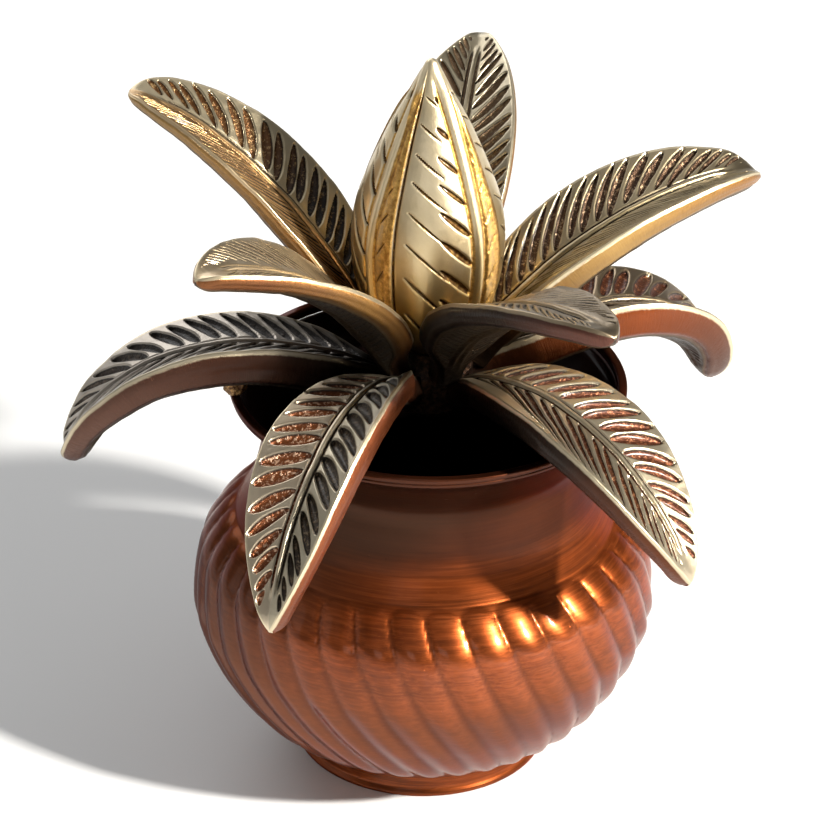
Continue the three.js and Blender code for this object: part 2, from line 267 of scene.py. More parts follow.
def placeCamera():
    tilt = math.radians(view["elevation"])
    roll = math.radians(view["roll"])
    forward = Vector((0, math.cos(tilt), -math.sin(tilt)))
    level = Vector((1, 0, 0))
    upright = level.cross(forward)
    right = level * math.cos(roll) + upright * math.sin(roll)
    up = upright * math.cos(roll) - level * math.sin(roll)
    place = (Vector((view["aimX"], 0, view["aimZ"])) - forward * view["distance"]) * mm
    camera = bpy.data.cameras.new("camera")
    camera.sensor_width = view["sensor"]
    camera.lens = view["sensor"] * view["focal"] / view["frame"]
    scene.camera = addObject("camera", camera)
    turn = Matrix((right, up, -forward)).transposed().to_4x4()
    scene.camera.matrix_world = Matrix.Translation(place) @ turn


placeCamera()
print("camera placed")


# Pot body: a turned shell, fluted by a geometry tree

pot = {
    "sheet": 1.6, "baseRadius": 29.4, "footHeight": 5.9, "footWidth": 3.2, "clearance": 0.3,
    "belt": (60.5, 46), "neck": (49.5, 69), "waist": (42.8, 92), "mouth": (49.6, 104.5),
    "sides": 504, "bellyRows": 92, "neckRows": 40, "innerRows": 40, "edgeRound": 0.5,
}
flutes = {
    "count": 36, "top": pot["neck"][1], "topArc": 1.6, "end": 9, "endFade": 7, "ridge": 0.25, "valley": 1.35,
    "step": 0.55, "stepLength": 14, "softLength": 30, "softShare": 0.75, "innerLoss": 0.6,
    "turnAtTop": 0.27, "turnGrowth": 0.009,
}
bellyShape = [(0.47, 0.22), (0.79, 0.52), (0.965, 0.81)]
shoulderShape = [(0.17, 0.52), (0.61, 0.83)]
neckShape = [(0.54, 0.3), (0.9, 0.7)]
lipShape = [(0.6, 0.68)]


def through(start, end, shape):
    # Points between two sizes, given as shares of the way across and up
    span = np.subtract(end, start)
    return [tuple(np.add(start, span * share)) for share in shape] + [end]


def offsetInwards(profile, thickness):
    tangent = np.gradient(profile, axis=0)
    tangent /= np.linalg.norm(tangent, axis=1)[:, None]
    return profile + thickness * np.stack([-tangent[:, 1], tangent[:, 0]], 1)


def potProfile():
    start = (pot["baseRadius"] + pot["footWidth"], pot["footHeight"] + pot["clearance"])
    belly = [start] + through(start, pot["belt"], bellyShape)
    belly += through(pot["belt"], pot["neck"], shoulderShape)
    upper = [pot["neck"]] + through(pot["neck"], pot["waist"], neckShape)
    upper += through(pot["waist"], pot["mouth"], lipShape)
    outer = np.vstack([catmullRom(belly, pot["bellyRows"]), catmullRom(upper, pot["neckRows"])[1:]])
    inner = offsetInwards(outer, pot["sheet"])[::-1]
    inner = inner[np.linspace(0, len(inner) - 1, pot["innerRows"]).astype(int)]
    inner[0, 1] = pot["mouth"][1]
    base, edge, sheet = pot["baseRadius"], pot["edgeRound"], pot["sheet"]
    bottom = np.array([(base - edge, 0), (base, edge), (base, start[1])])
    floor = np.array([(base - sheet, start[1] + sheet), (base - sheet, sheet)])
    profile = np.vstack([bottom, outer, inner[:-1], floor])
    inside = np.zeros(len(profile))
    inside[len(bottom) + len(outer):] = 1
    return profile, inside


def groupInput(tree, name, kind, value):
    socket = tree.interface.new_socket(name=name, in_out="INPUT", socket_type=kind)
    return socket, value


def fluteTree():
    # Pushes a turned shell in and out along its radius, in lobes that turn as they go down
    tree = bpy.data.node_groups.new("swirlFlutes", "GeometryNodeTree")
    tree.interface.new_socket(name="Geometry", in_out="INPUT", socket_type="NodeSocketGeometry")
    sockets = [groupInput(tree, name, "NodeSocketFloat", value) for name, value in flutes.items()]
    sockets.append(groupInput(tree, "Material", "NodeSocketMaterial", None))
    tree.interface.new_socket(name="Geometry", in_out="OUTPUT", socket_type="NodeSocketGeometry")
    entry = tree.nodes.new("NodeGroupInput")
    size = {socket.name: Signal(tree, entry.outputs[socket.name]) for socket, _ in sockets}

    x, y, z = separated(node(tree, "GeometryNodeInputPosition"))
    height = z * toMm
    azimuth = y.math("ARCTAN2", x)
    drop = (size["top"] - height).math("MAXIMUM", 0.0).math("MINIMUM", size["top"] - size["end"])
    turn = (drop * size["turnAtTop"] + drop * drop * size["turnGrowth"] * 0.5) * math.radians(1)
    phase = ((azimuth - turn) * size["count"] / (2 * math.pi)).math("FRACT") - 0.5
    fromRidge = phase.math("ABSOLUTE") * 2
    top = size["top"] - size["topArc"] * fromRidge ** 3.0
    started = (top - height).smooth(0.0, 1.0)
    lasting = ((height - size["end"]) / size["endFade"]).smooth(0.0, 1.0)
    # Rounder valleys low on the belly, a small step where the flutes begin, and less of both on the inside
    softness = (drop / size["softLength"]).clamped() * size["softShare"]
    sharp = 1 - (1 - fromRidge * fromRidge).math("MAXIMUM", 0.0) ** 0.5
    soft = fromRidge.smooth(0.0, 1.0)
    valley = sharp * (1 - softness) + soft * softness
    step = size["step"] * (1 - (drop / size["stepLength"]).clamped())
    inside = node(tree, "GeometryNodeInputNamedAttribute", {"data_type": "FLOAT"}, {"Name": "inside"})
    outer = 1 - inside * size["innerLoss"]
    push = (size["ridge"] + step - valley * size["valley"]) * started * lasting * outer
    level = combined(x, y, 0.0)
    outward = node(tree, "ShaderNodeVectorMath", {"operation": "NORMALIZE"}, {0: level})
    offset = node(tree, "ShaderNodeVectorMath", {"operation": "SCALE"}, {0: outward, "Scale": push * mm})

    geometry = Signal(tree, entry.outputs["Geometry"])
    settings = {"data_type": "FLOAT", "domain": "POINT"}
    values = {"Geometry": geometry, "Name": "valley", "Value": valley * started * lasting}
    geometry = node(tree, "GeometryNodeStoreNamedAttribute", settings, values)
    geometry = node(tree, "GeometryNodeSetPosition", None, {"Geometry": geometry, "Offset": offset})
    geometry = node(tree, "GeometryNodeRealizeInstances", None, {"Geometry": geometry})
    values = {"Geometry": geometry, "Material": size["Material"]}
    geometry = node(tree, "GeometryNodeSetMaterial", None, values)
    leave = tree.nodes.new("NodeGroupOutput")
    connect(geometry, leave.inputs["Geometry"])
    return tree, sockets


def applyTree(piece, tree, sockets, material):
    # Runs a geometry tree on a piece and keeps the result as its plain mesh
    modifier = piece.modifiers.new("shape", "NODES")
    modifier.node_group = tree
    for socket, value in sockets:
        modifier[socket.identifier] = material if value is None else float(value)
    evaluated = piece.evaluated_get(bpy.context.evaluated_depsgraph_get())
    shaped = bpy.data.meshes.new_from_object(evaluated)
    piece.modifiers.remove(modifier)
    piece.data = shaped


# A band is where a colour starts and where it's full: a height, for the painted shade on the left a place to
# the left that comes nearer above its rise height, and for the valleys a share of their depth. The lacquer goes
# dull likewise

# The neck and low colours are painted shade on the neck and the underside, the brown colour painted shade on
# the left side and shoulder, and the tarnish colour real grime that also paints the inside as shade
copperFinish = {
    "shade": (0.11, 0.027, 0.008), "warm": (0.40, 0.08, 0.015), "rubbed": (0.44, 0.115, 0.034),
    "neck": (0.04, 0.014, 0.008), "low": (0.15, 0.046, 0.016), "paintedLeftShade": (0.042, 0.022, 0.013),
    "tarnishAndInsideShade": (0.012, 0.006, 0.005), "roughness": 0.25, "paintedNeckShadeBand": (70.0, 82.0), "paintedLowShadeBand": (58.0, 36.0),
    "paintedLeftShadeBand": (26.0, 60.0), "paintedShadeRise": 60, "dullBand": (60.0, 68.0), "valleyBand": (0.45, 1.0),
    "spinLines": 1300.0, "broad": 240.0, "blotch": 38.0, "grime": 900.0, "pits": 520.0, "dents": 60.0,
    "bump": 0.00003,
}


def copperSurface(name, worn, fluted=False, darkened=0.0):
    fixed = {
        "Metallic": 0.8, "Specular IOR Level": 0.1, "Specular Tint": (0.5, 0.3, 0.22, 1),
        "Coat Weight": 0.3, "Coat Roughness": 0.13, "Coat IOR": 1.42,
    }
    material, tree, shader, place = newSurface(name, fixed)
    x, y, z = separated(place)
    radius = (x * x + y * y) ** 0.5
    azimuth = y.math("ARCTAN2", x)
    lines = noise(combined(radius, z, azimuth * 0.0012), copperFinish["spinLines"], 4.0, 0.7)
    broad = noise(combined(radius, z, azimuth * 0.004), copperFinish["broad"], 3.0, 0.6)
    blotch = noise(place, copperFinish["blotch"], 4.0, 0.6)
    warmth = (blotch * 0.9 + broad * 0.9 + lines * 1.1 - 1.47 + worn).clamped()
    colour = blend(warmth, copperFinish["shade"], copperFinish["warm"])
    rub = (lines * 1.8 + blotch - 1.3).clamped() * 0.8
    colour = blend(rub, colour, copperFinish["rubbed"])
    # A darkened piece takes the colour of the painted neck shade
    colour = blend(darkened, colour, copperFinish["neck"])
    roughness = lines * 0.12 + blotch * 0.08 + copperFinish["roughness"]
    if fluted:
        inside = attribute(tree, "inside")
        colour = potPatinaAndPaintedShade(tree, colour, x * toMm, z * toMm, blotch, inside)
        roughness = roughness + inside * 0.35
        gloss = 1 - (z * toMm).smooth(*copperFinish["dullBand"])
        connect(gloss * 0.5 + 0.12, shader.inputs["Coat Weight"])
    grime = noise(place, copperFinish["grime"], 5.0, 0.75).smooth(0.66, 0.8)
    colour = blend(grime * 0.6, colour, copperFinish["tarnishAndInsideShade"])
    pits = noise(place, copperFinish["pits"], 2.0).smooth(0.72, 0.8)
    dents = noise(place, copperFinish["dents"], 2.0)
    height = lines + broad * 1.5 - pits * 2.5 + dents * 6
    setSurface(shader, colour, roughness, height, copperFinish["bump"])
    return material


def potPatinaAndPaintedShade(tree, colour, x, height, blotch, inside):
    # Painted shade on the neck, on the underside and inside, and on the left side, also on the shoulder, and
    # dark valleys
    # Painted shade on the neck, under the rim and the leaves
    neckPaintedShade = (height + (blotch - 0.5) * 14).smooth(*copperFinish["paintedNeckShadeBand"])
    colour = blend(neckPaintedShade * 0.85, colour, copperFinish["neck"])
    # Painted shade on the left side, away from the light, reaching higher onto the shoulder
    above = height - copperFinish["paintedShadeRise"]
    paintedLeftReach = above.clamped() * above * 1.6 - x + blotch * 14
    paintedLeftShare = paintedLeftReach.smooth(*copperFinish["paintedLeftShadeBand"]) * 0.7
    colour = blend(paintedLeftShare, colour, copperFinish["paintedLeftShade"])
    # Painted shade on the underside, below the belt
    lowPaintedShade = 1 - (height + (blotch - 0.5) * 10).smooth(*copperFinish["paintedLowShadeBand"][::-1])
    colour = blend(lowPaintedShade * 0.7, colour, copperFinish["low"])
    valleyShade = attribute(tree, "valley").smooth(*copperFinish["valleyBand"]) * 0.75
    colour = blend(valleyShade, colour, copperFinish["shade"])
    # Painted shade inside the pot
    return blend(inside.clamped(), colour, copperFinish["tarnishAndInsideShade"])


def buildPot():
    profile, inside = potProfile()
    rings = turned(profile, pot["sides"])
    data = {"inside": np.repeat(inside, pot["sides"])}
    piece = meshFromRings("potBody", rings, data)
    material = copperSurface("potCopper", 0.5, fluted=True)
    tree, sockets = fluteTree()
    applyTree(piece, tree, sockets, material)
    piece.data.shade_smooth()
    finishPiece(piece, material, "pot_copper", "pot_body")


buildPot()
print("pot body made")


# Foot ring and rolled rim

foot = {
    "flare": 1, "lip": 0.9, "swell": 0.15, "swellHeight": 2.1, "nip": 0.1, "nipDrop": 1.4,
    "round": 0.7, "sides": 360,
}
rim = {
    "width": 2.5, "height": 2.8, "overhang": 1.7, "round": 0.8, "sides": 400,
    "under": 0.5, "underNip": 0.35, "underNipHeight": 0.9, "nip": 0.55, "nipHeight": 1.15, "rollHeight": 1.5,
}


def rounded(corners, radius, steps=5):
    # A closed section with its corners turned into arcs
    corners = np.array(corners, float)
    count = len(corners)
    section = []
    for index in range(count):
        corner = corners[index]
        back = corners[index - 1] - corner
        ahead = corners[(index + 1) % count] - corner
        reach = min(radius, 0.45 * np.linalg.norm(back), 0.45 * np.linalg.norm(ahead))
        start = corner + back / np.linalg.norm(back) * reach
        end = corner + ahead / np.linalg.norm(ahead) * reach
        for step in range(steps + 1):
            t = step / steps
            section.append((1 - t) ** 2 * start + 2 * t * (1 - t) * corner + t * t * end)
    return np.array(section)


def buildFoot():
    inside = pot["baseRadius"] + pot["clearance"]
    outside = pot["baseRadius"] + pot["footWidth"]
    flared = outside + foot["flare"]
    top = pot["footHeight"]
    corners = [
        (inside, 0), (flared, 0), (flared, foot["lip"]), (outside + foot["swell"], foot["swellHeight"]),
        (outside - foot["nip"], top - foot["nipDrop"]), (outside, top), (inside, top),
    ]
    rings = turned(rounded(corners, foot["round"]), foot["sides"])
    piece = meshFromRings("footRing", rings, closedEnds=False)
    finishPiece(piece, copperSurface("footCopper", 0.3), "foot_copper", "foot_ring")


def buildRim():
    outside = pot["mouth"][0] + rim["overhang"]
    inside = outside - rim["width"]
    bottom = pot["mouth"][1] + pot["clearance"]
    top = bottom + rim["height"]
    corners = [
        (inside, bottom), (outside - rim["under"], bottom),
        (outside - rim["underNip"], bottom + rim["underNipHeight"]),
        (outside - rim["nip"], bottom + rim["nipHeight"]), (outside, bottom + rim["rollHeight"]),
        (outside, top), (inside, top),
    ]
    rings = turned(rounded(corners, rim["round"]), rim["sides"])
    piece = meshFromRings("rimRing", rings, closedEnds=False)
    finishPiece(piece, copperSurface("rimCopper", 0, darkened=0.75), "pot_copper", "rim_ring")


buildFoot()
buildRim()
print("foot and rim made")


# Leaves. A pair of sizes is where a change starts and where it's complete, but in uneven each pair is
# the size and the height of one unevenness, and in leans and marks it stands for the two blades

leafForm = {
    "rootRadius": 9, "upperRoot": 114, "lowerRoot": 110.5, "rootHalfWidth": 3.6, "rootBlend": 0.2,
    "tipHalfWidth": 0.6, "tipCrowding": 1.5, "pivot": 0.35, "tipLeft": 0.15, "wallBulge": 0.45,
    "foldRound": 0.8, "underFoldRound": 1.5, "topRound": 0.6, "underRound": 1.9, "ends": (1.5, 6),
    "ribHeight": 0.6, "ribHalfWidth": 0.95, "ribTaper": 0.4, "ribEnd": (0.85, 0.93),
    "grooveDepth": 0.85, "grooveHalf": 0.42, "paintedRimLine": (1.3, 0.4), "uneven": ((14, 0.16), (5, 0.06)),
}
fineGrid = {"rows": 410, "top": 158, "wall": 9, "under": 44}
plainGrid = {"rows": 330, "top": 96, "wall": 7, "under": 34}
veins = {
    "start": 16, "straight": 0.65, "tipLean": 1.2, "tip": (0.5, 0.85), "innerEnd": 1.5, "margin": 0.8,
    "depth": 1.3, "fullDepthAt": 10, "apart": 0.222, "half": 0.205, "shortest": 1.2, "first": (6.5, 9.5),
    "last": (0.9, 0.93), "lip": 0.13, "lipAt": 1.15, "lipWidth": 0.16,
    "linePitch": 2.5, "lineHalf": 0.36, "lineDepth": 0.6, "lineInset": 0.4, "lineFirst": (4, 8),
    # How much each mark differs. Pockets: shift, girth, start, stop. Lines: girth, start, stop, shift
    "pocketSpread": ((-0.022, 0.022), (0.88, 1.08), (0, 0.8), (-0.3, 0.8)),
    "lineSpread": ((0.7, 1.25), (0, 1.8), (-0.4, 1.6), (-0.12, 0.12)),
}
underside = {
    "linePitch": 2.6, "lineLean": 0.5, "lineDepth": 0.35, "edge": (0.5, 2.6), "keel": (2.2, 3.4),
    "ridgeAt": 1.1, "ridgeHalf": 0.55, "ridgeHeight": 0.5,
}
usualLeaf = {"halfWidth": 16, "nose": 4.5, "marks": ("pockets", "pockets"), "grid": fineGrid}
upperLeaves = [
    dict(azimuth=168, rise=59, droop=14, bend=1.85, length=98.5, halfWidth=15.8, roll=-4.5, sweep=-3, fold=18,
         fullness=0.45, wall=5.9, thinning=0.5, pitch=7.9, leans=(0.55, 1.3), marks=("pockets", "lines")),
    dict(azimuth=16, rise=52.5, droop=-6, bend=1.15, length=95.5, roll=2.5, sweep=13.5, fold=22, nose=7,
         fullness=0.45, wall=8.1, thinning=0.45, pitch=8.3, leans=(1.6, 1.05), marks=("lines", "pockets")),
    dict(azimuth=81, rise=59.5, droop=10, bend=1.1, length=96, roll=-4, sweep=1, fold=19, fullness=0.7,
         wall=5.4, thinning=0.2, pitch=8.2, leans=(0.75, 1.0), grid=plainGrid),
    dict(azimuth=228, rise=60, droop=9.5, bend=1.15, length=94, roll=-4, sweep=-1, fold=14.5, fullness=0.65,
         wall=5.4, thinning=0.2, pitch=8, leans=(1.3, 1.3), marks=("lines", "lines"), grid=plainGrid),
    dict(azimuth=294, rise=88, droop=3.5, bend=0.52, length=93.5, halfWidth=14.3, roll=-5, sweep=15, fold=8,
         fullness=0.6, wall=6.2, thinning=0.2, pitch=8, leans=(1.3, 1.3), marks=("lines", "lines"),
         grid=plainGrid),
]
lowerLeaves = [
    dict(azimuth=190, rise=25.5, droop=-74.5, bend=1.6, length=101, halfWidth=15.2, roll=8.5, sweep=-1,
         fold=11.5, fullness=0.45, wall=10.5, thinning=0.45, pitch=9.3, leans=(0.6, 0.8)),
    dict(azimuth=241, rise=44, droop=-60.5, bend=0.75, length=102, halfWidth=15.3, roll=16.5, sweep=13.5,
         fold=15.5, fullness=0.75, wall=7.2, thinning=0.1, pitch=10.3, leans=(0.4, 1.0)),
    dict(azimuth=315.3, rise=37, droop=-62, bend=0.85, length=96.5, halfWidth=16.6, roll=-6, sweep=4,
         fold=9, fullness=0.75, wall=7.8, thinning=0.3, pitch=8.9, leans=(1.6, 0.5)),
    dict(azimuth=25, rise=19.5, droop=-94, bend=2.25, length=92.5, halfWidth=14.9, roll=-6, sweep=-5, nose=8,
         fold=16.5, fullness=0.65, wall=10.3, thinning=0.3, pitch=9.5, leans=(0.8, 0.6), grid=plainGrid),
    dict(azimuth=110, rise=30, droop=-66, bend=1.2, length=97, halfWidth=15.3, roll=0, sweep=0,
         fold=13, fullness=0.6, wall=7.5, thinning=0.35, pitch=9.5, leans=(0.7, 0.7), grid=plainGrid),
]


def leafHeading(leaf, share):
    slope = np.radians(leaf["rise"] + (leaf["droop"] - leaf["rise"]) * share ** leaf["bend"])
    yaw = np.radians(leaf["azimuth"] + leaf["sweep"] * share)
    along = np.stack([np.cos(slope) * np.cos(yaw), np.cos(slope) * np.sin(yaw), np.sin(slope)], -1)
    level = np.stack([-np.sin(yaw), np.cos(yaw), 0 * yaw], -1)
    return along, level


def leafStations(leaf, rootHeight, share):
    # Where the leaf's middle runs, and which ways its length, its width and its face point there
    strides = 4000
    fine = np.linspace(0, 1, strides + 1)
    along, _ = leafHeading(leaf, (fine[1:] + fine[:-1]) / 2)
    travelled = np.vstack([np.zeros(3), np.cumsum(along * leaf["length"] / strides, axis=0)])
    root = math.radians(leaf["azimuth"])
    out = leafForm["rootRadius"]
    start = np.array([out * math.cos(root), out * math.sin(root), rootHeight])
    place = start + np.stack([np.interp(share, fine, travelled[:, axis]) for axis in range(3)], -1)
    along, level = leafHeading(leaf, share)
    up = np.cross(along, level)
    roll = math.radians(leaf["roll"])
    side = level * math.cos(roll) + up * math.sin(roll)
    normal = up * math.cos(roll) - level * math.sin(roll)
    return place, side, normal


def leafHalfWidth(leaf, share):
    root = leafForm["rootHalfWidth"]
    full = leaf["halfWidth"] * np.maximum(0, np.sin(np.pi * share)) ** leaf["fullness"]
    opened = smoothstep(share / leafForm["rootBlend"])
    return np.maximum(leafForm["tipHalfWidth"], root + (full - root) * opened)


def veinOrigin(leaf, run, reach, halfAt, lean):
    # Where along the rib the vein through each point starts, found by coming closer twelve times
    origin = run + 0 * reach
    for _ in range(12):
        nearTip = smoothstep(origin / leaf["length"], *veins["tip"])
        bent = veins["straight"] + (1 - veins["straight"]) * reach / np.maximum(halfAt(origin), 2)
        origin = run - (lean + veins["tipLean"] * nearTip) * reach * bent
    return origin


# Shapes of marks: peak is a bump with soft feet, dome one with steep sides

def peak(distance, half):
    return np.exp(-(distance / half) ** 2)


def dome(share, power=2):
    return np.maximum(0, 1 - share ** power) ** 0.6


def lens(travel):
    # A mark's share of its full width on the way from its inner end, 0, to its outer end, 1
    return np.sin(math.pi * np.clip(travel, 0, 1) ** 0.85) ** 0.5


def numbered(phase, count):
    # The number of the mark that each point belongs to, and the point's place in it, from -0.5 to 0.5
    which = np.clip(np.floor(phase).astype(int), 0, count - 1)
    return which, phase - which - 0.5


def onMark(travel):
    return (travel > 0) * (travel < 1)


def pocketDepth(leaf, origin, reach, halfWidth, blade, chance):
    # Pairs of lens-shaped hollows that run out along the veins, with a low lip round each
    count = int(leaf["length"] / leaf["pitch"]) + 3
    which, within = numbered((origin - veins["start"]) / leaf["pitch"] + 1.5, count)
    side = blade.astype(int)
    depth = np.zeros_like(reach + origin)
    lip = np.zeros_like(depth)
    for half in (-1, 1):
        shift, girth, start, stop = (
            chance.uniform(low, high, (2, count))[side, which] for low, high in veins["pocketSpread"])
        inner = veins["innerEnd"] + start
        outer = halfWidth - veins["margin"] - stop
        travel = (reach - inner) / np.maximum(outer - inner, 0.01)
        width = lens(travel)
        wide = np.maximum(veins["half"] * girth * width, 1e-3)
        fromCentre = np.abs(within - half * veins["apart"] - shift) / wide
        present = (outer > inner + veins["shortest"]) * onMark(travel)
        depth = np.maximum(depth, dome(fromCentre) * present)
        edge = peak(fromCentre - veins["lipAt"], veins["lipWidth"])
        lip = np.maximum(lip, edge * present * (width > 0.5))
    run = smoothstep(origin, *veins["first"]) * (1 - smoothstep(origin / leaf["length"], *veins["last"]))
    return depth * run, lip * run * (depth <= 0)


def lineDepth(leaf, origin, reach, halfWidth, chance):
    # Fine cuts side by side, each with its own width and ends
    count = int(leaf["length"] / veins["linePitch"]) + 4
    which, within = numbered(origin / veins["linePitch"] + 1, count)
    girth, start, stop, shift = (
        chance.uniform(low, high, count)[which] for low, high in veins["lineSpread"])
    inner = veins["innerEnd"] + veins["lineInset"] + start
    outer = halfWidth - veins["margin"] - stop
    travel = (reach - inner) / np.maximum(outer - inner, 0.01)
    wide = np.maximum(veins["lineHalf"] * girth * lens(travel), 1e-3)
    hollow = np.maximum(0, 1 - (np.abs(within - shift) / wide) ** 2)
    return hollow * onMark(travel) * smoothstep(origin, *veins["lineFirst"])


def leafFace(leaf, run, across, halfWidth, seed):
    # Lift of the carved face over its two plain blades, and how worked each point is
    chance = np.random.default_rng(seed)
    reach = np.abs(across)
    share = run / leaf["length"]
    halfAt = lambda place: np.interp(place, run[:, 0], halfWidth[:, 0])
    taper = smoothstep(halfWidth, *leafForm["ends"]) * (1 - smoothstep(share, *leafForm["ribEnd"]))
    ribHalf = leafForm["ribHalfWidth"] * (1 - leafForm["ribTaper"] * share)
    rib = dome(reach / ribHalf, 3) * leafForm["ribHeight"] * taper
    groove = peak(reach - ribHalf - leafForm["grooveHalf"], leafForm["grooveHalf"]) * taper
    pockets, lips, lines = (np.zeros_like(reach + run) for _ in range(3))
    for index, blade in enumerate((across < 0, across >= 0)):
        origin = veinOrigin(leaf, run, reach, halfAt, leaf["leans"][index])
        if leaf["marks"][index] == "pockets":
            hollow, lip = pocketDepth(leaf, origin, reach, halfWidth, blade, chance)
            pockets += hollow * blade
            lips += lip * blade
        else:
            lines += lineDepth(leaf, origin, reach, halfWidth, chance) * blade
    depth = veins["depth"] * np.clip(halfWidth / veins["fullDepthAt"], 0.3, 1)
    lift = rib + lips * veins["lip"] - pockets * depth
    lift = np.minimum(lift, rib - groove * leafForm["grooveDepth"]) - lines * veins["lineDepth"]
    worked = np.clip(np.maximum(np.maximum(pockets * 1.5, groove * 1.3), lines * 1.4), 0, 1)
    return lift, worked


def underFace(run, across, halfWidth):
    # Shallow arched lines on the underside and a keel of two ridges
    reach = np.abs(across)
    arched = underside["lineLean"] * (reach + reach ** 2 / np.maximum(halfWidth, 3))
    lines = 0.5 + 0.5 * np.cos(2 * np.pi * (run - arched) / underside["linePitch"])
    inside = smoothstep(halfWidth - reach, *underside["edge"]) * smoothstep(reach, *underside["keel"])
    ridges = peak(reach - underside["ridgeAt"], underside["ridgeHalf"])
    taper = smoothstep(halfWidth, *leafForm["ends"])
    lift = ridges * underside["ridgeHeight"] - lines ** 3 * underside["lineDepth"] * inside
    worked = np.clip(lines ** 2 * inside * 0.9 + 0.35, 0, 1)
    return lift * taper, worked


def foldedHeight(across, rounding):
    # Height over the fold of a blade that rises 1 for each 1 across, with the fold itself rounded
    return np.sqrt(across ** 2 + rounding ** 2) - rounding


def sideArc(across, height, radius, turn):
    return np.stack([across + radius * np.cos(turn), height + radius * np.sin(turn)], -1)


def leafSection(leaf, run, halfWidth, wall, seed):
    # Offsets across and upwards round a leaf: the face, one wall, the underside, the other wall
    grid = leaf["grid"]
    fold = math.radians(leaf["fold"])
    slope = math.tan(fold)
    reach = (halfWidth * math.cos(fold))[:, None]
    wall = wall[:, None]
    run = run[:, None]
    topRound = np.minimum(leafForm["topRound"], reach * 0.4)
    underRound = np.minimum(leafForm["underRound"], np.minimum(reach * 0.4, wall * 0.35))
    across = np.linspace(-1, 1, grid["top"])[None] * (reach - topRound)
    lift, worked = leafFace(leaf, run, across, reach, seed)
    top = np.stack([across, slope * foldedHeight(across, leafForm["foldRound"]) + lift], -1)
    wallHigh = slope * (reach - leafForm["foldRound"]) - topRound
    wallLow = slope * reach - wall + underRound
    upperArc = sideArc(reach - topRound, wallHigh, topRound, np.linspace(np.pi / 2, 0, 5)[None, 1:])
    lowerArc = sideArc(reach - underRound, wallLow, underRound, np.linspace(0, -np.pi / 2, 7)[None])
    down = np.linspace(0, 1, grid["wall"] + 2)[None, 1:-1]
    bulge = np.minimum(leafForm["wallBulge"], reach * 0.1) * np.sin(np.pi * down)
    wallLine = np.stack([reach + bulge, wallHigh + (wallLow - wallHigh) * down], -1)
    underAcross = np.linspace(1, -1, grid["under"])[None, 1:-1] * (reach - underRound)
    underLift, underWorked = underFace(run, underAcross, reach - underRound)
    underHeight = slope * foldedHeight(underAcross, leafForm["underFoldRound"]) - wall - underLift
    under = np.stack([underAcross, underHeight], -1)
    right = np.concatenate([upperArc, wallLine, lowerArc], 1)
    left = (right * np.array([-1, 1]))[:, ::-1]
    section = np.concatenate([top, right, under, left], 1)
    # The painted rim highlight stands at the top of a wall, and the wall mark begins below it
    arcCount = upperArc.shape[1]
    plain = np.zeros(right.shape[:2])
    side, edge = plain.copy(), plain.copy()
    side[:, arcCount:] = 1
    edge[:, :arcCount] = 1
    edge[:, arcCount] = 0.55
    margin = smoothstep(reach - np.abs(across), *leafForm["paintedRimLine"])
    noTop, noUnder = 0 * across, 0 * underAcross
    marks = {
        "worked": (worked, plain, underWorked, plain),
        "wallMark": (noTop, side, noUnder, side[:, ::-1]),
        "edgeMark": (margin, edge, noUnder, edge[:, ::-1]),
        "underMark": (noTop, plain, noUnder + 1, plain),
    }
    return section, {key: np.concatenate(parts, 1) for key, parts in marks.items()}


def buildLeaf(name, node, leaf, rootHeight, material, slot, seed):
    step = np.linspace(0, 1, leaf["grid"]["rows"])
    share = 1 - (1 - step) ** leafForm["tipCrowding"]
    place, side, normal = leafStations(leaf, rootHeight, share)
    halfWidth = leafHalfWidth(leaf, share)
    wall = leaf["wall"] * (1 - leaf["thinning"] * share ** 2)
    run = share * leaf["length"]
    section, data = leafSection(leaf, run, halfWidth, wall, seed)
    nose = np.clip(1 - (leaf["length"] - run) / leaf["nose"], 0, 1)
    left = np.maximum(leafForm["tipLeft"], np.sqrt(1 - nose ** 2))[:, None]
    pivot = (-leafForm["pivot"] * wall)[:, None]
    section[..., 1] = pivot + (section[..., 1] - pivot) * left
    rings = place[:, None] + section[..., :1] * side[:, None] + section[..., 1:] * normal[:, None]
    (coarse, tall), (fine, slight) = leafForm["uneven"]
    uneven = ripple(rings, coarse, seed + 40) * tall + ripple(rings, fine, seed + 80) * slight
    rough = smoothstep(run, 3, 15) * (1 - smoothstep(nose, 0.0, 0.6))
    rings = rings + (uneven * rough[:, None])[..., None] * normal[:, None]
    alongRow = np.ones(rings.shape[1])
    data["alongLeaf"] = share[:, None] * alongRow
    data["acrossLeaf"] = section[..., 0] / np.maximum(halfWidth, 1)[:, None]
    data["leafPlace"] = np.stack([run[:, None] * alongRow, section[..., 0], section[..., 1]], -1)
    piece = meshFromRings(name, rings, data)
    finishPiece(piece, material, slot, node)


leafTexture = {"grain": 750.0, "speck": 1700.0, "cloud": 90.0, "bump": 0.00015}


